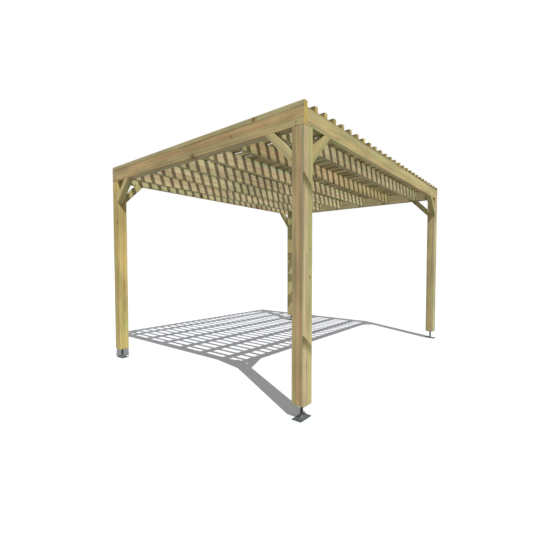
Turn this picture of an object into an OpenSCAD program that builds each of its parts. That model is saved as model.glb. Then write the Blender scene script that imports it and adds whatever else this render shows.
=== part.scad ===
// Open timber pergola: four corner posts on steel post feet, a ring of edge
// beams let into the post tops, a second beam inside the front and the back
// one, joists hung between those two, a deck of square slats laid across the
// joists, and two knee braces a corner.
// The front of the pergola faces -Y. Z = 0 is the ground under the feet.

/* [Overall size] */
// Width of the roof, measured along the front beam
roof_w = 3060; // [2400:10:4200]
// Depth of the roof, measured along the side beams
roof_d = 4000; // [2800:10:5200]
// Height from the ground to the tops of the slats
total_h = 2535; // [2100:5:3000]

/* [Posts] */
// Side of the square posts
post_side = 120; // [95:1:160]
// Height of the steel feet under the posts
foot_h = 117; // [60:1:200]

/* [Roof timbers] */
// Thickness of the edge beams
beam_t = 45; // [35:1:60]
// Height of the edge beams
beam_h = 145; // [95:1:220]
// Thickness of the joists
joist_t = 45; // [35:1:60]
// Clear width between a side beam and the joist next to it
end_bay = 275; // [120:5:400]
// Side of the square slats
slat_side = 45; // [30:1:60]
// Number of slats in each of the nine bundles that make up the deck
slats_per_bundle = 3; // [2:1:4]

/* [Knee braces] */
// Side of the square braces
brace_side = 70; // [45:1:90]
// How far the outer edge of a brace reaches along the beam from the post
brace_leg = 283; // [200:1:500]

/* [Steel feet] */
// Long side of the base plate
plate_long = 155; // [140:1:200]
// Short side of the base plate
plate_short = 90; // [90:1:140]
// Thickness of the base plate and of the plate under the post
plate_t = 6; // [4:1:12]
// Side of the square plate screwed under the post
top_plate = 70; // [50:1:95]
// Diameter of the round stem
stem_d = 25; // [16:1:32]
// Radius of the hollow flare where the stem meets the base plate
flare_r = 28; // [8:1:28]
// Diameter of the anchor holes in the base plate
anchor_d = 11; // [8:0.5:14]
// Distance from the middle of an anchor hole to the edges of the plate
anchor_edge = 15; // [12:1:16]

/* [Hidden] */
$fn = 48;
hw = roof_w / 2;
hd = roof_d / 2;
beam_top = total_h - slat_side;
beam_z = beam_top - beam_h;
post_h = beam_top - foot_h;
side_len = roof_d - 2 * beam_t;
joist_len = roof_d - 4 * beam_t;
joist_count = 6;
joist_pitch = (roof_w - 2 * (beam_t + end_bay) - joist_t) / (joist_count - 1);
bundle_count = 9;
slat_count = bundle_count * slats_per_bundle;
slat_pitch = (roof_d - slat_side) / (slat_count - 1);
brace_in = brace_leg - brace_side * sqrt(2);
// Height of the thin rim at the foot of the flare
rim_h = 2;
// How far a cutter runs past the face that it cuts
cut = 1;
wood = [0.69, 0.62, 0.45];
wood_light = [0.76, 0.70, 0.50];
wood_green = [0.66, 0.64, 0.42];
steel = [0.36, 0.38, 0.38];

// Puts a part drawn for the front right corner on another corner: the signs
// give the side of the pergola in X and in Y.
module at_corner(side_x, side_y) {
    mirror([side_x < 0 ? 1 : 0, 0, 0])
        mirror([0, side_y > 0 ? 1 : 0, 0])
            translate([hw, -hd, 0])
                children();
}

// A square post with its top cut back on both outer sides, so that the beams
// sit on the shoulders with their faces flush. The corner is the outer edge.
module post() {
    notch_l = post_side + 2 * cut;
    color(wood_light)
        difference() {
            translate([-post_side, 0, foot_h])
                cube([post_side, post_side, post_h]);
            translate([-post_side - cut, -cut, beam_z])
                cube([notch_l, beam_t + cut, beam_h + cut]);
            translate([-beam_t, -cut, beam_z])
                cube([beam_t + cut, notch_l, beam_h + cut]);
        }
}

// Half of the outline of the stem: a round bar that spreads in a hollow curve
// to a thin rim on the base plate.
module stem_outline() {
    flare_end = stem_d / 2 + flare_r;
    square([stem_d / 2, foot_h]);
    difference() {
        square([flare_end, plate_t + rim_h + flare_r]);
        translate([flare_end, plate_t + rim_h + flare_r])
            circle(flare_r);
    }
}

// A welded foot: a base plate with four anchor holes, a flared round stem and
// a small square plate under the post. The long side of the base plate lies
// along X or along Y.
module foot(long_x) {
    hole_x = plate_long / 2 - anchor_edge;
    hole_y = plate_short / 2 - anchor_edge;
    color(steel)
        translate([-post_side / 2, post_side / 2, 0])
            rotate(long_x ? 0 : 90) {
                difference() {
                    translate([-plate_long / 2, -plate_short / 2, 0])
                        cube([plate_long, plate_short, plate_t]);
                    for (sx = [-1, 1], sy = [-1, 1])
                        translate([sx * hole_x, sy * hole_y, -cut])
                            cylinder(h = plate_t + 2 * cut, d = anchor_d);
                }
                rotate_extrude()
                    stem_outline();
                translate([-top_plate / 2, -top_plate / 2, foot_h - plate_t])
                    cube([top_plate, top_plate, plate_t]);
            }
}

// A beam across the front or the back, over the full width of the roof.
module cross_beam() {
    color(wood)
        translate([-hw, -hd, beam_z])
            cube([roof_w, beam_t, beam_h]);
}

// The second beam of the front or the back, fitted between the posts and
// fixed to the back of the cross beam.
module inner_beam() {
    color(wood)
        translate([-hw + post_side, -hd + beam_t, beam_z])
            cube([roof_w - 2 * post_side, beam_t, beam_h]);
}

// A beam along the right or the left side, fitted between the cross beams.
module side_beam() {
    color(wood_light)
        translate([hw - beam_t, -hd + beam_t, beam_z])
            cube([beam_t, side_len, beam_h]);
}

// One joist between the inner beams, numbered from the right side.
module joist(number) {
    middle_x = ((joist_count + 1) / 2 - number) * joist_pitch;
    color(wood_light)
        translate([middle_x - joist_t / 2, -joist_len / 2, beam_z])
            cube([joist_t, joist_len, beam_h]);
}

// The outline of a brace, mitred at both ends: X runs along the beam away
// from the post and Y runs up to the underside of the beam.
module brace_outline() {
    polygon([
        [0, -brace_leg],
        [brace_leg, 0],
        [brace_in, 0],
        [0, -brace_in]
    ]);
}

// A brace under the cross beam, flush with its face.
module brace_across() {
    color(wood_green)
        translate([-post_side, brace_side, beam_z])
            rotate([90, 0, 0])
                linear_extrude(brace_side)
                    mirror([1, 0])
                        brace_outline();
}

// A brace under the side beam, flush with its face.
module brace_along() {
    color(wood_green)
        translate([-brace_side, post_side, beam_z])
            rotate([90, 0, 90])
                linear_extrude(brace_side)
                    brace_outline();
}

// One bundle of slats, numbered from the front. Each slat is a loose piece
// across the whole width of the roof.
module slats(number) {
    first = (number - 1) * slats_per_bundle;
    color(wood)
        for (i = [0:slats_per_bundle - 1])
            translate([-hw, -hd + (first + i) * slat_pitch, beam_top])
                cube([roof_w, slat_side, slat_side]);
}

at_corner(1, -1) post();  // post_front_right
at_corner(-1, -1) post();  // post_front_left
at_corner(1, 1) post();  // post_back_right
at_corner(-1, 1) post();  // post_back_left
at_corner(1, -1) foot(false);  // foot_front_right
at_corner(-1, -1) foot(true);  // foot_front_left
at_corner(1, 1) foot(true);  // foot_back_right
at_corner(-1, 1) foot(false);  // foot_back_left
cross_beam();  // front_beam
mirror([0, 1, 0]) cross_beam();  // back_beam
mirror([1, 0, 0]) side_beam();  // left_beam
side_beam();  // right_beam
inner_beam();  // front_inner_beam
mirror([0, 1, 0]) inner_beam();  // back_inner_beam
joist(1);  // joist_1
joist(2);  // joist_2
joist(3);  // joist_3
joist(4);  // joist_4
joist(5);  // joist_5
joist(6);  // joist_6
at_corner(1, -1) brace_across();  // brace_front_right_across
at_corner(-1, -1) brace_across();  // brace_front_left_across
at_corner(1, 1) brace_across();  // brace_back_right_across
at_corner(-1, 1) brace_across();  // brace_back_left_across
at_corner(1, -1) brace_along();  // brace_front_right_along
at_corner(-1, -1) brace_along();  // brace_front_left_along
at_corner(1, 1) brace_along();  // brace_back_right_along
at_corner(-1, 1) brace_along();  // brace_back_left_along
slats(1);  // slats_1
slats(2);  // slats_2
slats(3);  // slats_3
slats(4);  // slats_4
slats(5);  // slats_5
slats(6);  // slats_6
slats(7);  // slats_7
slats(8);  // slats_8
slats(9);  // slats_9
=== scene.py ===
import math

import bmesh
import bpy
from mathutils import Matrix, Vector


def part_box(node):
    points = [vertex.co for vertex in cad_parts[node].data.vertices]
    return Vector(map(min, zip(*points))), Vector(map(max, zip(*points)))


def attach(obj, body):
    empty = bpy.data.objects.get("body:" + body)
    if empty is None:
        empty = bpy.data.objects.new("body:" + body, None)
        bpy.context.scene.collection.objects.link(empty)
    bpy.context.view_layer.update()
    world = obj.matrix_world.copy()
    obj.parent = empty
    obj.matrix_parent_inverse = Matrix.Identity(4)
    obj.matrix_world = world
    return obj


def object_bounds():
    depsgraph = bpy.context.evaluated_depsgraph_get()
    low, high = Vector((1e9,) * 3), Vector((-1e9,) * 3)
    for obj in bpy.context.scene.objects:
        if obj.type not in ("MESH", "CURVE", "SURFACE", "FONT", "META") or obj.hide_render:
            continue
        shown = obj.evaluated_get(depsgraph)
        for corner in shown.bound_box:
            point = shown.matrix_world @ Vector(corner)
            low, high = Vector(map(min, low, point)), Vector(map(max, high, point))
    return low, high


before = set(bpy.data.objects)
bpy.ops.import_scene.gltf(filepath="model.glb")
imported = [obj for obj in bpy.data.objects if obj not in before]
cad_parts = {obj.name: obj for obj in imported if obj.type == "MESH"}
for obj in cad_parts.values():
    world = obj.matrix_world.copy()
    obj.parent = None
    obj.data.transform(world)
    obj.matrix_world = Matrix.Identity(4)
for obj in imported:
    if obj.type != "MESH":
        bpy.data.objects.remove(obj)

CAD_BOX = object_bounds()

# ---------------------------------------------------------------- sizes

GROUND, ROOF_TOP = CAD_BOX[0][2], CAD_BOX[1][2]
FRONT_LOW, FRONT_HIGH = (Vector(v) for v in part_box("front_beam"))
ROOF_HALF_W = FRONT_HIGH.x
ROOF_HALF_D = Vector(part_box("back_beam")[1]).y
BEAM_BOTTOM, BEAM_TOP = FRONT_LOW.z, FRONT_HIGH.z
SLAT = ROOF_TOP - BEAM_TOP
SLAT_BUNDLES = 9
SLATS_EACH = 3
SLAT_COUNT = SLAT_BUNDLES * SLATS_EACH
SLAT_STEP = (2 * ROOF_HALF_D - SLAT) / (SLAT_COUNT - 1)
FIRST_SLAT_Y = -ROOF_HALF_D + SLAT / 2
JOISTS = [f"joist_{i}" for i in range(1, 7)]
SIDE_BEAMS = ["left_beam", "right_beam"]
# The side of the pergola in X and in Y where each corner is.
CORNERS = {
    "front_right": (1, -1),
    "front_left": (-1, -1),
    "back_right": (1, 1),
    "back_left": (-1, 1),
}

# ---------------------------------------------------------------- view and light

# The camera's place, measured from the roof's front right corner at ground level.
CAMERA_FROM_CORNER = Vector((1.4995, -2.2255, 1.2698))
CAMERA_YAW = 0.6733
CAMERA_PITCH = -0.0389
CAMERA_LENS = 22.219
SENSOR_WIDTH = 36.0
VIEW_DISTANCE = 500.0

TO_SUN = Vector((0.513, -0.267, 0.816))
SUN_STRENGTH = 4.7
SUN_WIDTH = math.radians(0.25)
SUN_COLOUR = (1.0, 0.985, 0.95)
SKY_STRENGTH = 0.54
SKY_COLOUR = (1.0, 0.975, 0.92, 1.0)

FLOOR_COLOUR = (0.602, 0.628, 0.685, 1.0)
FLOOR_RADIUS = 120.0
BACKDROP_RADIUS = 150.0


def make_camera():
    data = bpy.data.cameras.new("camera")
    data.lens = CAMERA_LENS
    data.sensor_width = SENSOR_WIDTH
    data.clip_end = VIEW_DISTANCE
    camera = bpy.data.objects.new("camera", data)
    bpy.context.collection.objects.link(camera)
    camera.location = Vector((ROOF_HALF_W, -ROOF_HALF_D, 0.0)) + CAMERA_FROM_CORNER
    camera.rotation_euler = (math.pi / 2 + CAMERA_PITCH, 0.0, CAMERA_YAW)
    bpy.context.scene.camera = camera


def make_lights():
    data = bpy.data.lights.new("sun", "SUN")
    data.energy = SUN_STRENGTH
    data.angle = SUN_WIDTH
    data.color = SUN_COLOUR
    sun = bpy.data.objects.new("sun", data)
    bpy.context.collection.objects.link(sun)
    sun.rotation_euler = TO_SUN.to_track_quat("Z", "Y").to_euler()
    world = bpy.data.worlds.new("sky")
    world.use_nodes = True
    bpy.context.scene.world = world
    background = world.node_tree.nodes["Background"]
    background.inputs["Color"].default_value = SKY_COLOUR
    background.inputs["Strength"].default_value = SKY_STRENGTH
    bpy.context.scene.view_settings.view_transform = "Standard"


def make_floor():
    """A pale floor that shows from above only, so that the underside can be looked at."""
    mesh = bmesh.new()
    bmesh.ops.create_circle(mesh, cap_ends=True, segments=96, radius=FLOOR_RADIUS)
    floor = object_from(mesh, "floor")
    floor.location.z = GROUND
    paint = new_material("floor_paint")
    set_inputs(paint, {"Base Color": FLOOR_COLOUR, "Roughness": 0.9, "Specular IOR Level": 0.0})
    g = Graph(paint.node_tree)
    one_sided = g.node("ShaderNodeMixShader", {
        0: g.node("ShaderNodeNewGeometry").outputs["Backfacing"],
        1: shader_of(paint).outputs[0],
        2: g.node("ShaderNodeBsdfTransparent").outputs[0],
    })
    g.put(paint.node_tree.nodes["Material Output"].inputs["Surface"], one_sided.outputs[0])
    floor.data.materials.append(paint)
    floor.visible_diffuse = False
    floor.visible_glossy = False
    return floor


def make_backdrop():
    """A plain white dome that is seen but gives no light."""
    mesh = bmesh.new()
    bmesh.ops.create_icosphere(mesh, subdivisions=4, radius=BACKDROP_RADIUS)
    dome = object_from(mesh, "backdrop")
    glow = new_material("backdrop_white")
    glow.node_tree.nodes.clear()
    g = Graph(glow.node_tree)
    g.node("ShaderNodeOutputMaterial", {"Surface": g.node("ShaderNodeEmission").outputs[0]})
    dome.data.materials.append(glow)
    for ray in ("diffuse", "glossy", "transmission", "volume_scatter", "shadow"):
        setattr(dome, "visible_" + ray, False)
    return dome


def make_stage():
    make_floor()
    make_backdrop()


# ---------------------------------------------------------------- mesh helpers

BEVEL_SEGMENTS = 2
BEVEL_ANGLE = math.radians(40)
WELD_DISTANCE = 0.00005


def object_from(mesh, name):
    data = bpy.data.meshes.new(name)
    mesh.to_mesh(data)
    mesh.free()
    made = bpy.data.objects.new(name, data)
    bpy.context.collection.objects.link(made)
    return made


def ease_edges(node, width):
    """Rounds the sharp edges of a piece a little."""
    weld = node.modifiers.new("weld", "WELD")
    weld.merge_threshold = WELD_DISTANCE
    bevel = node.modifiers.new("eased edges", "BEVEL")
    bevel.width = width
    bevel.segments = BEVEL_SEGMENTS
    bevel.limit_method = "ANGLE"
    bevel.angle_limit = BEVEL_ANGLE
    bevel.harden_normals = True


def dress(name, material, edge):
    """Gives a CAD piece its material and its eased edges."""
    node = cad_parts[name]
    node.data.materials.clear()
    node.data.materials.append(material)
    ease_edges(node, edge)


def middle_and_half(name):
    """The middle of a CAD piece's box and half of its size."""
    low, high = (Vector(v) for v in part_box(name))
    return (low + high) / 2, (high - low) / 2


# ---------------------------------------------------------------- node helpers

# The places of a colour mix's sockets among all of the mix node's.
MIX_FACTOR, MIX_A, MIX_B = 0, 6, 7
MIX_RESULT = 2


class Graph:
    """A short way to write a node tree as sums. Values are sockets or constants, and
    most methods add a node and give its output."""

    def __init__(self, tree):
        self.tree = tree

    def node(self, kind, inputs=None, **settings):
        made = self.tree.nodes.new(kind)
        for key, value in settings.items():
            setattr(made, key, value)
        for key, value in (inputs or {}).items():
            self.put(made.inputs[key], value)
        return made

    def put(self, socket, value):
        if isinstance(value, bpy.types.NodeSocket):
            self.tree.links.new(value, socket)
        else:
            socket.default_value = value

    def math(self, operation, a, b=0.0):
        return self.node("ShaderNodeMath", {0: a, 1: b}, operation=operation).outputs[0]

    def add(self, a, b):
        return self.math("ADD", a, b)

    def sub(self, a, b):
        return self.math("SUBTRACT", a, b)

    def mul(self, a, b):
        return self.math("MULTIPLY", a, b)

    def divide(self, a, b):
        return self.math("DIVIDE", a, b)

    def larger(self, a, b):
        return self.math("MAXIMUM", a, b)

    def size_of(self, a):
        return self.math("ABSOLUTE", a)

    def length(self, a, b):
        return self.math("SQRT", self.add(self.mul(a, a), self.mul(b, b)))

    def swing(self, value, amount):
        """How far a noise is from its middle, times amount."""
        return self.mul(self.sub(value, 0.5), amount)

    def vector(self, operation, a, b, output=0):
        made = self.node("ShaderNodeVectorMath", {0: a, 1: b}, operation=operation)
        return made.outputs[output]

    def split(self, vector):
        return self.node("ShaderNodeSeparateXYZ", {0: vector}).outputs

    def join(self, x, y, z):
        return self.node("ShaderNodeCombineXYZ", {0: x, 1: y, 2: z}).outputs[0]

    def noise(self, vector, detail=2.0, roughness=0.5, output=0):
        inputs = {"Vector": vector, "Scale": 1.0, "Detail": detail, "Roughness": roughness}
        return self.node("ShaderNodeTexNoise", inputs).outputs[output]

    def random(self, vector):
        """Three random numbers that are the same everywhere that vector is."""
        made = self.node("ShaderNodeTexWhiteNoise", {"Vector": vector}, noise_dimensions="3D")
        return self.split(made.outputs["Color"])

    def ramp(self, value, low, high, to_low=0.0, to_high=1.0):
        """Goes smoothly from to_low to to_high as value goes from low to high."""
        inputs = {0: value, 1: low, 2: high, 3: to_low, 4: to_high}
        return self.node("ShaderNodeMapRange", inputs, interpolation_type="SMOOTHSTEP").outputs[0]

    def fall(self, value, low, high, top=1.0):
        """Goes smoothly from top to 0 as value goes from low to high."""
        return self.ramp(value, low, high, top, 0.0)

    def mix(self, amount, a, b, blend="MIX"):
        inputs = {MIX_FACTOR: amount, MIX_A: a, MIX_B: b}
        made = self.node("ShaderNodeMix", inputs, data_type="RGBA", blend_type=blend)
        return made.outputs[MIX_RESULT]

    def tinted(self, amount, colour, tint):
        """The colour, with a part of it multiplied by the tint."""
        return self.mix(amount, colour, self.mix(1.0, colour, tint, "MULTIPLY"))


def new_material(name):
    made = bpy.data.materials.new(name)
    made.use_nodes = True
    return made


def shader_of(material):
    return material.node_tree.nodes["Principled BSDF"]


def set_inputs(material, values):
    for key, value in values.items():
        shader_of(material).inputs[key].default_value = value


# ---------------------------------------------------------------- wood

RING_WIDTH = 0.0046
HEART_RADIUS = 0.045
SAP_RADIUS = 0.090
# Half of the width over which heartwood or sapwood gives way to the pale wood.
SOFT_EDGE = 0.012
PITH_WANDER = 0.05

# One branch may grow in each cell along a timber. Its knot is the small size at the
# pith and has grown by the full size at the full reach.
KNOT_CELL = 0.46
KNOT_SMALL = 0.003
KNOT_GROWTH = 0.011
KNOT_FULL_REACH = 0.09
KNOT_LEAN = -0.25

# A scar is a dark swirl beside a spike knot. It starts on a slant, and fades down
# the grain from SCAR_FADE_FROM to its length.
SCAR_SLOPE = 0.85
SCAR_FADE_FROM = 0.035
SCAR_LENGTHS = (0.13, 0.12)
PORE_SCALE = 900.0

# Sapwood takes the treatment and turns yellow-green, heartwood stays brown, and the
# wood between them is a pale cream.
SAP = (0.415, 0.385, 0.190, 1)
PALE = (0.425, 0.385, 0.235, 1)
HEART = (0.420, 0.335, 0.190, 1)
GOLDEN = (0.460, 0.385, 0.163, 1)
CREAM = (0.425, 0.388, 0.260, 1)
TAN = (0.424, 0.352, 0.191, 1)
TAN_HEART = (0.432, 0.340, 0.186, 1)
SIDE_PALE = (0.392, 0.352, 0.180, 1)
SIDE_SAP = (0.400, 0.368, 0.180, 1)
JOIST_SAP = (0.420, 0.388, 0.228, 1)
JOIST_BROWN = (0.362, 0.316, 0.170, 1)
SLAT_SAP = (0.402, 0.346, 0.186, 1)
GREY_GREEN = (0.330, 0.313, 0.190, 1)
BRACE_SAP = (0.430, 0.410, 0.220, 1)
BRACE_TAN = (0.382, 0.350, 0.172, 1)

# Colours of knots, drying checks and end grain.
KNOT_DARK = (0.155, 0.08, 0.03, 1)
KNOT_LIGHT = (0.24, 0.13, 0.055, 1)
KNOT_RIM = (0.06, 0.035, 0.018, 1)
SPOT_DARK = (0.11, 0.065, 0.030, 1)
CHECK_DARK = (0.07, 0.045, 0.02, 1)
END_GOLDEN = (0.50, 0.385, 0.095, 1)
END_BROWN = (0.36, 0.310, 0.142, 1)

# Tints, which the colours under them are multiplied by.
WARM_BAND_TINT = (1.05, 0.94, 0.88, 1)
COOL_BAND_TINT = (0.93, 0.98, 0.87, 1)
BLOTCH_TINT = (0.78, 0.93, 0.88, 1)
LATE_WOOD_TINT = (0.78, 0.70, 0.60, 1)
DARK_YEARS_TINT = (0.86, 0.83, 0.76, 1)
KNOT_HALO_TINT = (0.76, 0.62, 0.44, 1)
SCAR_TINT = (0.32, 0.31, 0.23, 1)
SPOT_HALO_TINT = (0.72, 0.60, 0.45, 1)
WORN_TINT = (1.25, 1.22, 1.15, 1)
# Painted shade along the edge under the slats, and on undersides.
SEAM_SHADE_TINT = (0.45, 0.44, 0.36, 1)
# Painted shade on the slats' sides and undersides, mottled between these two tints.
SIDE_SHADE_DARK_TINT = (0.44, 0.43, 0.36, 1)
SIDE_SHADE_LIGHT_TINT = (0.76, 0.76, 0.70, 1)
END_RING_TINT = (0.62, 0.52, 0.38, 1)
PORE_TINT = (0.4, 0.35, 0.3, 1)

# Place is the point in the timber's own axes, and Half is half of the timber's size.
# Pith is where the pith lies. Scars and the Spots are the places of single knots. Seed
# differs from timber to timber. Knots is the chance of a branch in each cell, Seam Shade
# how much painted shade lies along an edge, and Shade how much painted shade lies on
# the sides and underside.
TIMBER_INPUTS = {
    "NodeSocketVector": ("Place", "Half", "Pith", "Scars", "Spot A", "Spot B"),
    "NodeSocketFloat": ("Seed", "Knots", "Seam", "Shade"),
    "NodeSocketColor": ("Sap", "Pale", "Heart"),
}
TIMBER_OUTPUTS = {
    "Color": "NodeSocketColor",
    "Roughness": "NodeSocketFloat",
    "Normal": "NodeSocketVector",
}


class Wood(Graph):
    """Softwood grown in three dimensions: rings round a wandering pith, heartwood and
    sapwood, and branches that leave the pith and show as knots. X of Place runs along
    the timber, Y and Z across it, from its middle."""

    def __init__(self, tree):
        super().__init__(tree)
        self.given = self.node("NodeGroupInput").outputs
        self.place, self.seed = self.given["Place"], self.given["Seed"]
        self.x, self.y, self.z = self.split(self.place)
        self.half = self.split(self.given["Half"])
        self.own = self.join(*(self.mul(self.seed, factor) for factor in (7.31, 3.17, 5.71)))
        axes = (self.x, self.y, self.z)
        self.inside = [self.sub(half, self.size_of(axis)) for half, axis in zip(self.half, axes)]
        self.find_pith()
        self.grow_branches()
        self.grow_rings()
        self.grow_streaks()

    def grain(self, along, across, detail=2.0, roughness=0.5, shift=0.0, output=0):
        """Noise stretched along the timber, with along and across in waves a metre."""
        spot = self.vector("MULTIPLY", self.place, (along, across, across))
        spot = self.vector("ADD", spot, self.own)
        if shift:
            spot = self.vector("ADD", spot, (shift, shift, shift))
        return self.noise(spot, detail, roughness, output)

    def find_pith(self):
        wander = self.split(self.grain(0.55, 1.5, detail=1.0, output=1))
        pith = self.split(self.given["Pith"])
        self.from_y = self.sub(self.sub(self.y, pith[1]), self.swing(wander[0], PITH_WANDER))
        self.from_z = self.sub(self.sub(self.z, pith[2]), self.swing(wander[1], PITH_WANDER))
        self.radius = self.length(self.from_y, self.from_z)

    def grow_branches(self):
        """Sets reach, the distance from the nearest branch in knot radii, and what
        follows from it: the knot itself, its rim and the halo round it."""
        start = self.mul(self.random(self.own)[2], 10.0)
        cell = self.add(self.divide(self.x, KNOT_CELL), start)
        number = self.math("FLOOR", cell)
        branch = self.random(self.join(number, self.seed, 0.5))
        place_in_cell = self.add(self.mul(branch[0], 0.5), 0.25)
        off_x = self.mul(self.sub(self.sub(cell, number), place_in_cell), KNOT_CELL)
        angle = self.mul(branch[1], 2 * math.pi)
        cosine, sine = self.math("COSINE", angle), self.math("SINE", angle)
        outward = self.add(self.mul(self.from_y, cosine), self.mul(self.from_z, sine))
        aside = self.sub(self.mul(self.from_z, cosine), self.mul(self.from_y, sine))
        growth = self.mul(self.ramp(outward, 0.0, KNOT_FULL_REACH), KNOT_GROWTH)
        self.knot_radius = self.add(self.mul(growth, self.add(branch[2], 0.4)), KNOT_SMALL)
        leaning = self.add(off_x, self.mul(outward, KNOT_LEAN))
        distance = self.add(self.length(leaning, aside), self.swing(self.grain(60.0, 60.0), 0.005))
        self.reach = self.divide(distance, self.knot_radius)
        chosen = self.math("LESS_THAN", branch[2], self.given["Knots"])
        grows = self.mul(chosen, self.math("GREATER_THAN", outward, 0.0))
        rim = self.mul(self.ramp(self.reach, 0.65, 0.95), self.fall(self.reach, 0.95, 1.5))
        self.knot = self.mul(self.fall(self.reach, 0.8, 1.1), grows)
        self.rim = self.mul(rim, grows)
        self.halo = self.mul(self.fall(self.reach, 1.0, 4.5), grows)

    def grow_rings(self):
        """Growth rings, pushed aside round each knot."""
        wave = self.swing(self.grain(5.0, 55.0), 0.0024)
        pushed = self.mul(self.mul(self.halo, self.knot_radius), 1.3)
        ring_at = self.add(self.add(self.radius, wave), pushed)
        uneven = self.noise(self.join(self.mul(ring_at, 90.0), self.seed, 0.0), detail=1.0)
        ring = self.add(self.divide(ring_at, RING_WIDTH), self.mul(uneven, 1.4))
        phase = self.math("FRACT", ring)
        self.late = self.mul(self.ramp(phase, 0.25, 0.88), self.fall(phase, 0.9, 1.0))
        self.years = self.noise(self.join(self.mul(ring_at, 34.0), self.seed, 3.0))

    def grow_streaks(self):
        self.fibre = self.grain(7.0, 480.0, detail=3.0)
        self.streak = self.grain(0.45, 42.0, detail=3.0, roughness=0.6)
        self.band = self.grain(0.30, 13.0, shift=4.0)
        self.cloud = self.grain(1.6, 7.0, detail=3.0, roughness=0.55, shift=9.0)
        self.blotch = self.grain(1.1, 9.0, detail=3.0, roughness=0.6, shift=17.0)

    def clear_wood(self):
        """Heartwood inside, sapwood outside, with streaks along the grain."""
        edge = self.add(self.radius, self.swing(self.streak, 0.035))
        pale = self.ramp(edge, HEART_RADIUS - SOFT_EDGE, HEART_RADIUS + SOFT_EDGE)
        sapwood = self.ramp(edge, SAP_RADIUS - SOFT_EDGE, SAP_RADIUS + SOFT_EDGE)
        inner = self.mix(pale, self.given["Heart"], self.given["Pale"])
        colour = self.mix(sapwood, inner, self.given["Sap"])
        colour = self.tinted(self.ramp(self.band, 0.42, 0.66), colour, WARM_BAND_TINT)
        colour = self.tinted(self.fall(self.band, 0.34, 0.54), colour, COOL_BAND_TINT)
        colour = self.tinted(self.ramp(self.blotch, 0.55, 0.70, 0.0, 0.9), colour, BLOTCH_TINT)
        colour = self.tinted(self.mul(self.late, 0.75), colour, LATE_WOOD_TINT)
        return self.tinted(self.ramp(self.years, 0.45, 0.75), colour, DARK_YEARS_TINT)

    def with_knots(self, colour):
        """Knots with their own rings and a dark rim."""
        ring = self.ramp(self.math("SINE", self.mul(self.reach, 16.0)), -0.4, 1.0)
        colour = self.tinted(self.mul(self.halo, 0.6), colour, KNOT_HALO_TINT)
        colour = self.mix(self.knot, colour, self.mix(ring, KNOT_DARK, KNOT_LIGHT))
        return self.mix(self.mul(self.rim, 0.75), colour, KNOT_RIM)

    def with_scars(self, colour):
        """Dark swirls on the face at +Y, each from its own place along X."""
        across = self.add(self.z, self.half[2])
        slope = self.add(SCAR_SLOPE, self.swing(self.grain(9.0, 30.0), 0.5))
        near_face = self.fall(self.sub(self.half[1], self.y), 0.004, 0.022)
        swirl = 0.0
        for start, length in zip(self.split(self.given["Scars"]), SCAR_LENGTHS):
            below = self.sub(self.sub(start, self.mul(across, slope)), self.x)
            dark = self.mul(self.ramp(below, -0.004, 0.012), self.fall(below, SCAR_FADE_FROM, length))
            dark = self.mul(dark, self.ramp(across, 0.02, 0.13, 1.0, 0.6))
            swirl = self.larger(dark, swirl)
        streaky = self.add(0.95, self.swing(self.streak, 0.6))
        return self.tinted(self.mul(self.mul(swirl, near_face), streaky), colour, SCAR_TINT)

    def with_spots(self, colour):
        """Single knots at given places: distance along, height across, and radius."""
        for name in ("Spot A", "Spot B"):
            spot_x, spot_z, spot_radius = self.split(self.given[name])
            along = self.mul(self.sub(self.x, spot_x), 0.6)
            far = self.length(along, self.sub(self.z, spot_z))
            far = self.add(far, self.swing(self.grain(40.0, 60.0), 0.006))
            far = self.divide(far, spot_radius)
            colour = self.tinted(self.fall(far, 1.0, 3.5, 0.6), colour, SPOT_HALO_TINT)
            colour = self.mix(self.fall(far, 0.7, 1.15, 0.85), colour, SPOT_DARK)
        return colour

    def with_checks(self, colour):
        """Thin drying checks."""
        line = self.size_of(self.sub(self.grain(0.9, 30.0, detail=1.0), 0.5))
        self.check = self.mul(self.fall(line, 0.0, 0.006), self.ramp(self.grain(1.3, 4.0), 0.56, 0.62))
        return self.mix(self.mul(self.check, 0.6), colour, CHECK_DARK)

    def with_worn_edges(self, colour):
        """Edges that are a little paler from handling."""
        to_edge = self.larger(self.inside[1], self.inside[2])
        to_edge = self.add(to_edge, self.swing(self.grain(8.0, 90.0), 0.006))
        return self.tinted(self.fall(to_edge, 0.001, 0.006, 0.35), colour, WORN_TINT)

    def with_damp_seam(self, colour):
        """Painted shade along the top edge, where the slats sit (Seam Shade above 0), or on the
        underside and the bottom edge (below 0).
        """
        seam = self.given["Seam"]
        drift = self.grain(1.7, 2.0, detail=3.0, roughness=0.6, shift=31.0)
        to_seam = self.sub(self.half[2], self.mul(self.z, self.math("SIGN", seam)))
        to_seam = self.add(to_seam, self.swing(drift, 0.03))
        # Painted shade within about a centimetre of the edge, patchy with the band noise.
        seam_shade = self.mul(self.fall(to_seam, 0.002, 0.010), self.size_of(seam))
        seam_shade = self.mul(seam_shade, self.ramp(self.band, 0.35, 0.6, 0.35, 1.0))
        return self.tinted(self.mul(seam_shade, 0.8), colour, SEAM_SHADE_TINT)

    def with_sawn_sides(self, colour):
        """Painted shade on the sides and, more faintly, on the underside, mottled by the blotch noise.
        """
        # Painted shade: full on the sides, 0.3 of it on the underside.
        side = self.fall(self.inside[1], 0.001, 0.003)
        underside = self.fall(self.add(self.half[2], self.z), 0.001, 0.003, 0.3)
        side_shade = self.mul(self.larger(side, underside), self.given["Shade"])
        tint = self.mix(self.ramp(self.blotch, 0.40, 0.62), SIDE_SHADE_DARK_TINT, SIDE_SHADE_LIGHT_TINT)
        return self.tinted(side_shade, colour, tint)

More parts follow.
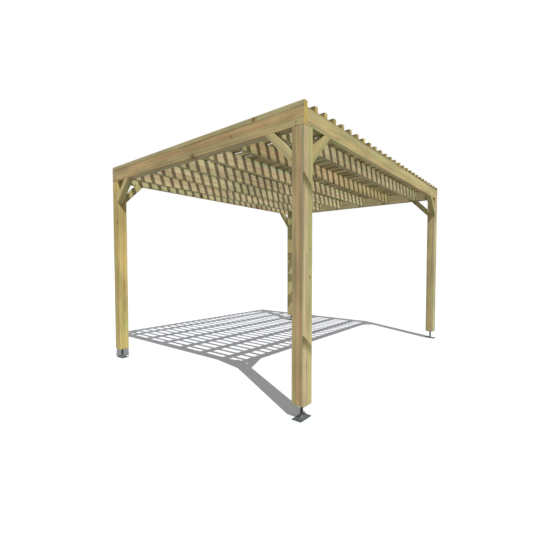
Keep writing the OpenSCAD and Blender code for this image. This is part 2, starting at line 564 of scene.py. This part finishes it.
    def with_end_grain(self, colour):
        """End grain soaks up more of the treatment and shows the rings as curves."""
        end = self.fall(self.inside[0], 0.0006, 0.0022)
        pores = self.noise(self.vector("MULTIPLY", self.place, (PORE_SCALE,) * 3))
        golden = self.random(self.vector("ADD", self.own, (2.0, 5.0, 9.0)))[0]
        cut = self.mix(golden, END_GOLDEN, END_BROWN)
        cut = self.tinted(self.mul(self.late, 0.8), cut, END_RING_TINT)
        cut = self.tinted(self.ramp(pores, 0.45, 0.75, 0.0, 0.4), cut, PORE_TINT)
        return self.mix(end, colour, cut)

    def with_light_and_dark(self, colour):
        value = self.add(self.ramp(self.cloud, 0.3, 0.7, 0.80, 1.16), self.swing(self.streak, 1.0))
        value = self.add(value, self.swing(self.fibre, 0.35))
        return self.mix(1.0, colour, self.join(value, value, value), "MULTIPLY")

    def roughness(self):
        rough = self.add(self.sub(0.66, self.mul(self.late, 0.12)), self.swing(self.fibre, 0.3))
        return self.sub(rough, self.mul(self.knot, 0.12))

    def normal(self):
        """Late wood, fibres and knots stand up a little, and checks are open."""
        height = self.add(self.mul(self.late, 0.35), self.mul(self.fibre, 0.5))
        height = self.sub(self.add(height, self.mul(self.knot, 0.5)), self.mul(self.check, 1.6))
        inputs = {"Strength": 0.5, "Distance": 0.0006, "Height": height}
        return self.node("ShaderNodeBump", inputs).outputs[0]


def make_timber_group():
    """The node group that all timbers share."""
    group = bpy.data.node_groups.new("timber", "ShaderNodeTree")
    for kind, names in TIMBER_INPUTS.items():
        for name in names:
            group.interface.new_socket(name, in_out="INPUT", socket_type=kind)
    for name, kind in TIMBER_OUTPUTS.items():
        group.interface.new_socket(name, in_out="OUTPUT", socket_type=kind)
    wood = Wood(group)
    colour = wood.clear_wood()
    for layer in (
        wood.with_knots,
        wood.with_scars,
        wood.with_spots,
        wood.with_checks,
        wood.with_worn_edges,
        wood.with_damp_seam,
        wood.with_sawn_sides,
        wood.with_end_grain,
        wood.with_light_and_dark,
    ):
        colour = layer(colour)
    outputs = {"Color": colour, "Roughness": wood.roughness(), "Normal": wood.normal()}
    wood.node("NodeGroupOutput", outputs)
    return group


TIMBER = make_timber_group()
NO_SCARS = (-9.0, -9.0, 0.0)
NO_SPOT = (-9.0, 0.0, 0.01)
PLAIN_TIMBER = {
    "Scars": NO_SCARS,
    "Spot A": NO_SPOT,
    "Spot B": NO_SPOT,
    "Knots": 0.5,
    "Seam": 0.0,
    "Shade": 0.0,
    "Sap": SAP,
    "Pale": PALE,
    "Heart": HEART,
}


def timber_material(name, half, seed, place, pith, options):
    """A material for one timber. place(graph, object_coordinates) gives Place, the
    point in the timber's own axes, and any other input that differs along the piece."""
    made = new_material(name)
    g = Graph(made.node_tree)
    coordinates = g.node("ShaderNodeTexCoord").outputs["Object"]
    values = {**PLAIN_TIMBER, "Half": half, "Seed": seed, "Pith": (0.0, *pith)}
    values.update(options)
    values.update(place(g, coordinates))
    wood = g.node("ShaderNodeGroup", node_tree=TIMBER)
    for key, value in values.items():
        g.put(wood.inputs[key], value)
    set_inputs(made, {"Specular IOR Level": 0.3})
    shader = shader_of(made)
    g.put(shader.inputs["Base Color"], wood.outputs["Color"])
    g.put(shader.inputs["Roughness"], wood.outputs["Roughness"])
    g.put(shader.inputs["Normal"], wood.outputs["Normal"])
    return made


def straight(centre, axis):
    """Places a timber that lies along X, Y or Z."""

    def place(g, coordinates):
        x, y, z = g.split(g.vector("SUBTRACT", coordinates, tuple(centre)))
        order = {"X": (x, y, z), "Y": (y, x, z), "Z": (z, x, y)}[axis]
        return {"Place": g.join(*order)}

    return place


def slanted(centre, direction):
    """Places a brace that slants along direction, in a plane through X or Y."""
    along = Vector(direction).normalized()
    flat = Vector((along.y, -along.x, 0.0)).normalized()
    third = along.cross(flat)

    def place(g, coordinates):
        offset = g.vector("SUBTRACT", coordinates, tuple(centre))
        axes = (tuple(axis) for axis in (along, flat, third))
        return {"Place": g.join(*(g.vector("DOT_PRODUCT", offset, axis, "Value") for axis in axes))}

    return place


def slatted(middle_z, seed):
    """Places a row of slats along X: each has its own middle and its own seed. Painted
    shade lies on the slats' sides and undersides, but not on the outer faces of the whole deck."""

    def place(g, coordinates):
        x, y, z = g.split(coordinates)
        steps = g.divide(g.sub(y, FIRST_SLAT_Y), SLAT_STEP)
        number = g.math("ROUND", steps)
        off = g.mul(g.sub(steps, number), SLAT_STEP)
        # The outer faces of the deck get no painted shade; all other slat faces do.
        outer_face = g.math("GREATER_THAN", g.size_of(y), ROOF_HALF_D - SLAT / 4)
        return {
            "Place": g.join(x, off, g.sub(z, middle_z)),
            "Seed": g.add(number, seed),
            "Shade": g.sub(1.0, outer_face),
        }

    return place


# ---------------------------------------------------------------- timbers

POST_EDGE = 0.004
BEAM_EDGE = 0.003
SLAT_EDGE = 0.0025

# Where the pith lies, from the middle of a post's section, and the colours there.
POSTS = {
    "front_right": ((-0.012, -0.060), SAP, PALE, HEART),
    "front_left": ((-0.030, 0.070), GOLDEN, GOLDEN, GOLDEN),
    "back_right": ((-0.010, -0.045), SAP, PALE, HEART),
    "back_left": ((0.020, 0.060), SAP, PALE, PALE),
}
# The front right post has a spike knot at each of these heights, and two small knots:
# height, distance from the middle of the face, and radius.
SCAR_HEIGHTS = (1.985, 0.700)
POST_KNOT_A = (1.159, 0.025, 0.007)
POST_KNOT_B = (1.383, 0.028, 0.004)

# Where the pith lies in each beam that runs across the pergola.
CROSS_BEAMS = {
    "front_beam": (0.020, 0.010),
    "back_beam": (0.030, -0.020),
    "front_inner_beam": (0.025, -0.040),
    "back_inner_beam": (0.040, -0.030),
}
# The knot in the front beam: distance from the middle, height above the underside,
# and radius.
FRONT_KNOT = (0.156, 0.012, 0.016)

BRACE_PITH = (0.05, 0.03)
SLAT_PITH = (0.05, 0.04)
# The mitred ends of a brace are hidden, so it is taken as too long to have end grain.
ENDLESS = 1.0


def post_options(corner, middle_z):
    _, sap, pale, heart = POSTS[corner]
    options = {"Sap": sap, "Pale": pale, "Heart": heart, "Knots": 0.35}
    if corner == "front_right":
        options["Scars"] = (SCAR_HEIGHTS[0] - middle_z, SCAR_HEIGHTS[1] - middle_z, 0.0)
        for name, (height, across, radius) in (("Spot A", POST_KNOT_A), ("Spot B", POST_KNOT_B)):
            options[name] = (height - middle_z, across, radius)
    return options


def dress_posts(seed):
    for corner, (pith, *_) in POSTS.items():
        name = "post_" + corner
        centre, half = middle_and_half(name)
        size = (half.z, half.x, half.y)
        place = straight(centre, "Z")
        options = post_options(corner, centre.z)
        dress(name, timber_material(name, size, seed, place, pith, options), POST_EDGE)
        seed += 1.0
    return seed


def dress_cross_beams(seed):
    for name, pith in CROSS_BEAMS.items():
        centre, half = middle_and_half(name)
        # Painted shade along the top edge, where the slats sit.
        options = {"Seam": 1.0, "Sap": TAN, "Pale": TAN, "Heart": TAN_HEART}
        if "inner" in name:
            options = {"Seam": 1.0, "Sap": GREY_GREEN, "Pale": GREY_GREEN, "Heart": CREAM}
        if name == "front_beam":
            along, up, radius = FRONT_KNOT
            options["Spot A"] = (along, up - half.z, radius)
        place = straight(centre, "X")
        dress(name, timber_material(name, tuple(half), seed, place, pith, options), BEAM_EDGE)
        seed += 1.0
    return seed


def long_pith(number):
    """Where the pith lies in a side beam or a joist, which differs from each to the next."""
    return 0.045 + 0.02 * math.sin(2.1 * number), 0.06 * math.cos(1.7 * number)


def long_options(name):
    """The colours of a side beam or a joist."""
    # The right beam has painted shade along its top edge; the left beam and the joists have it on
    # their undersides.
    if name == "right_beam":
        return {"Seam": 1.0, "Sap": SIDE_SAP, "Pale": SIDE_PALE, "Heart": SIDE_PALE}
    options = {"Seam": -0.6, "Sap": JOIST_SAP, "Pale": CREAM, "Heart": PALE, "Knots": 0.8}
    if name == "joist_2":
        options.update({"Sap": JOIST_BROWN, "Pale": JOIST_BROWN, "Heart": HEART})
    return options


def dress_side_beams_and_joists(seed):
    for number, name in enumerate(SIDE_BEAMS + JOISTS):
        centre, half = middle_and_half(name)
        size = (half.y, half.x, half.z)
        place = straight(centre, "Y")
        material = timber_material(name, size, seed, place, long_pith(number), long_options(name))
        dress(name, material, BEAM_EDGE)
        seed += 1.0
    return seed


def dress_braces(seed):
    for corner, (sx, sy) in CORNERS.items():
        for run, direction, tone in (
            ("across", (-sx, 0, 1), BRACE_SAP),
            ("along", (0, -sy, 1), BRACE_TAN),
        ):
            name = f"brace_{corner}_{run}"
            centre, half = middle_and_half(name)
            thick = min(half.x, half.y)
            size = (ENDLESS, thick, thick)
            place = slanted(centre, direction)
            options = {"Sap": tone, "Pale": tone, "Heart": SAP}
            material = timber_material(name, size, seed, place, BRACE_PITH, options)
            dress(name, material, BEAM_EDGE)
            seed += 1.0
    return seed


def dress_slats(seed):
    # Painted shade on the slats' undersides.
    options = {"Seam": -1.0, "Sap": SLAT_SAP, "Heart": TAN_HEART}
    for bundle in range(SLAT_BUNDLES):
        name = f"slats_{bundle + 1}"
        centre, half = middle_and_half(name)
        size = (half.x, SLAT / 2, SLAT / 2)
        place = slatted(centre.z, seed)
        dress(name, timber_material(name, size, seed, place, SLAT_PITH, options), SLAT_EDGE)
        seed += SLATS_EACH


def dress_timbers():
    seed = 1.0
    for dress_some in (dress_posts, dress_cross_beams, dress_side_beams_and_joists, dress_braces):
        seed = dress_some(seed)
    dress_slats(seed)


# ---------------------------------------------------------------- steel

STEEL_EDGE = 0.0008
DARK_ZINC = (0.10, 0.11, 0.11, 1)
PALE_ZINC = (0.17, 0.18, 0.175, 1)
FLAKE = (0.22, 0.235, 0.235, 1)
FLAKE_SCALE = 160.0
CLOUD_SCALE = 35.0
# What the zinc's colours are multiplied by on each kind of piece.
FOOT_TONE = (0.54, 0.61, 0.62)
WASHER_TONE = (3.1, 2.6, 1.7)
SCREW_TONE = (1.2, 0.9, 0.5)
DECK_SCREW_TONE = (1.5, 1.3, 1.0)


def steel_material(name, tone):
    """Galvanised steel: clouded zinc with flakes in it."""
    made = new_material(name)
    g = Graph(made.node_tree)
    coordinates = g.node("ShaderNodeTexCoord").outputs["Object"]
    spangle = g.node("ShaderNodeTexVoronoi", {"Vector": coordinates, "Scale": FLAKE_SCALE})
    flake = g.split(spangle.outputs["Color"])[0]
    cloud = g.noise(g.vector("MULTIPLY", coordinates, (CLOUD_SCALE,) * 3), detail=4.0)
    colour = g.mix(g.ramp(cloud, 0.3, 0.7), DARK_ZINC, PALE_ZINC)
    colour = g.mix(g.mul(flake, 0.3), colour, FLAKE)
    bump = g.node("ShaderNodeBump", {"Strength": 0.4, "Distance": 0.0004, "Height": cloud})
    set_inputs(made, {"Metallic": 0.25, "Specular IOR Level": 0.3})
    shader = shader_of(made)
    g.put(shader.inputs["Base Color"], g.vector("MULTIPLY", colour, tone))
    g.put(shader.inputs["Roughness"], g.add(g.mul(cloud, 0.3), 0.4))
    g.put(shader.inputs["Normal"], bump.outputs[0])
    return made


def dress_feet():
    steel = steel_material("foot_steel", FOOT_TONE)
    for corner in CORNERS:
        dress("foot_" + corner, steel, STEEL_EDGE)


# ---------------------------------------------------------------- screws

TURN_STEPS = 24
STAR_POINTS = 6
# The rings of a screw head: radius and height as parts of the whole head's, and how
# deep the points of the star are.
HEAD_RINGS = (
    (1.00, 0.40, 0.00),
    (0.90, 0.85, 0.00),
    (0.75, 1.00, 0.00),
    (0.44, 1.00, 0.14),
    (0.42, 0.25, 0.14),
)
HEAD_SUNK = 0.0006
# The rings of a washer: radius as a part of the whole, and height.
WASHER_RADIUS = 0.0100
WASHER_T = 0.0015
WASHER_RINGS = ((1.00, -0.0005), (1.00, 0.0011), (0.94, WASHER_T), (0.40, WASHER_T))

# Radius and height of the three kinds of screw head.
BEAM_HEAD = (0.0050, 0.0022)
BRACE_HEAD = (0.0050, 0.0008)
DECK_HEAD = (0.0048, 0.0004)

# Beam screws: from the corner of the roof, and up from the underside of the beam.
BEAM_SCREW_IN = 0.078
BEAM_SCREWS_UP = (0.012, 0.040)
# Brace screws: from either end of a brace's underside, measured level.
BRACE_SCREWS_IN = (0.028, 0.085)

WASHER_MATERIAL = 0
HEAD_MATERIAL = 1


def turned(mesh, spot, outward, rings, material):
    """Adds a closed turned shape on a surface. Each ring is its radius, its height
    above the surface, and how deep the points of its star are."""
    aim = outward.to_track_quat("Z", "Y").to_matrix()
    loops = []
    for radius, height, star in rings:
        loop = []
        for step in range(TURN_STEPS):
            turn = 2 * math.pi * step / TURN_STEPS
            reach = radius * (1 + star * math.cos(STAR_POINTS * turn))
            offset = Vector((reach * math.cos(turn), reach * math.sin(turn), height))
            loop.append(mesh.verts.new(spot + aim @ offset))
        loops.append(loop)
    faces = [mesh.faces.new(reversed(loops[0])), mesh.faces.new(loops[-1])]
    for low, high in zip(loops, loops[1:]):
        for i in range(TURN_STEPS):
            j = (i + 1) % TURN_STEPS
            faces.append(mesh.faces.new((low[i], low[j], high[j], high[i])))
    for face in faces:
        face.material_index = material


def screw(mesh, spot, outward, head, base=0.0):
    """A dished screw head with a star recess, at a height of base above the surface."""
    radius, height = head
    rings = [(radius, base - HEAD_SUNK, 0.0)]
    rings += [(part * radius, base + up * height, star) for part, up, star in HEAD_RINGS]
    turned(mesh, spot, outward, rings, HEAD_MATERIAL)


def screw_with_washer(mesh, spot, outward):
    rings = [(part * WASHER_RADIUS, height, 0.0) for part, height in WASHER_RINGS]
    turned(mesh, spot, outward, rings, WASHER_MATERIAL)
    screw(mesh, spot, outward, BEAM_HEAD, WASHER_T)


def add_fixings(name, mesh, steels):
    """Makes a mesh of screws into a piece that rides on the pergola. Steels are the
    washers' steel and the heads'."""
    piece = object_from(mesh, name)
    for material in steels:
        piece.data.materials.append(material)
    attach(piece, "root")


def beam_screws(corner):
    """The screws through both beams into the top of a corner's post."""
    sx, sy = CORNERS[corner]
    mesh = bmesh.new()
    for up in BEAM_SCREWS_UP:
        z = BEAM_BOTTOM + up
        on_side = Vector((sx * ROOF_HALF_W, sy * (ROOF_HALF_D - BEAM_SCREW_IN), z))
        on_front = Vector((sx * (ROOF_HALF_W - BEAM_SCREW_IN), sy * ROOF_HALF_D, z))
        screw_with_washer(mesh, on_side, Vector((sx, 0, 0)))
        screw_with_washer(mesh, on_front, Vector((0, sy, 0)))
    return mesh


def brace_screws(corner):
    """The screws in the slanting undersides of a corner's two braces."""
    sx, sy = CORNERS[corner]
    mesh = bmesh.new()
    for run, axis, inward in (
        ("across", 0, Vector((-sx, 0, 0))),
        ("along", 1, Vector((0, -sy, 0))),
    ):
        centre, half = middle_and_half(f"brace_{corner}_{run}")
        foot = centre.copy()
        foot[axis] -= inward[axis] * half[axis]
        foot.z -= half.z
        outward = (inward - Vector((0, 0, 1))).normalized()
        for away in BRACE_SCREWS_IN:
            for reach in (away, 2 * half.z - away):
                spot = foot + inward * reach + Vector((0, 0, reach))
                screw(mesh, spot, outward, BRACE_HEAD)
    return mesh


def deck_screws():
    """One countersunk screw where each slat crosses a joist or a side beam."""
    crossings = [middle_and_half(name)[0].x for name in JOISTS + SIDE_BEAMS]
    mesh = bmesh.new()
    for number in range(SLAT_COUNT):
        y = FIRST_SLAT_Y + number * SLAT_STEP
        for x in crossings:
            screw(mesh, Vector((x, y, ROOF_TOP)), Vector((0, 0, 1)), DECK_HEAD)
    return mesh


def make_screws():
    steels = [steel_material("washer_zinc", WASHER_TONE), steel_material("screw_steel", SCREW_TONE)]
    for corner in CORNERS:
        add_fixings("beam_screws_" + corner, beam_screws(corner), steels)
        add_fixings("brace_screws_" + corner, brace_screws(corner), steels)
    deck_steel = steel_material("deck_screw_steel", DECK_SCREW_TONE)
    add_fixings("deck_screws", deck_screws(), [deck_steel, deck_steel])


# ---------------------------------------------------------------- build

make_camera()
make_lights()
make_stage()
dress_timbers()
dress_feet()
make_screws()
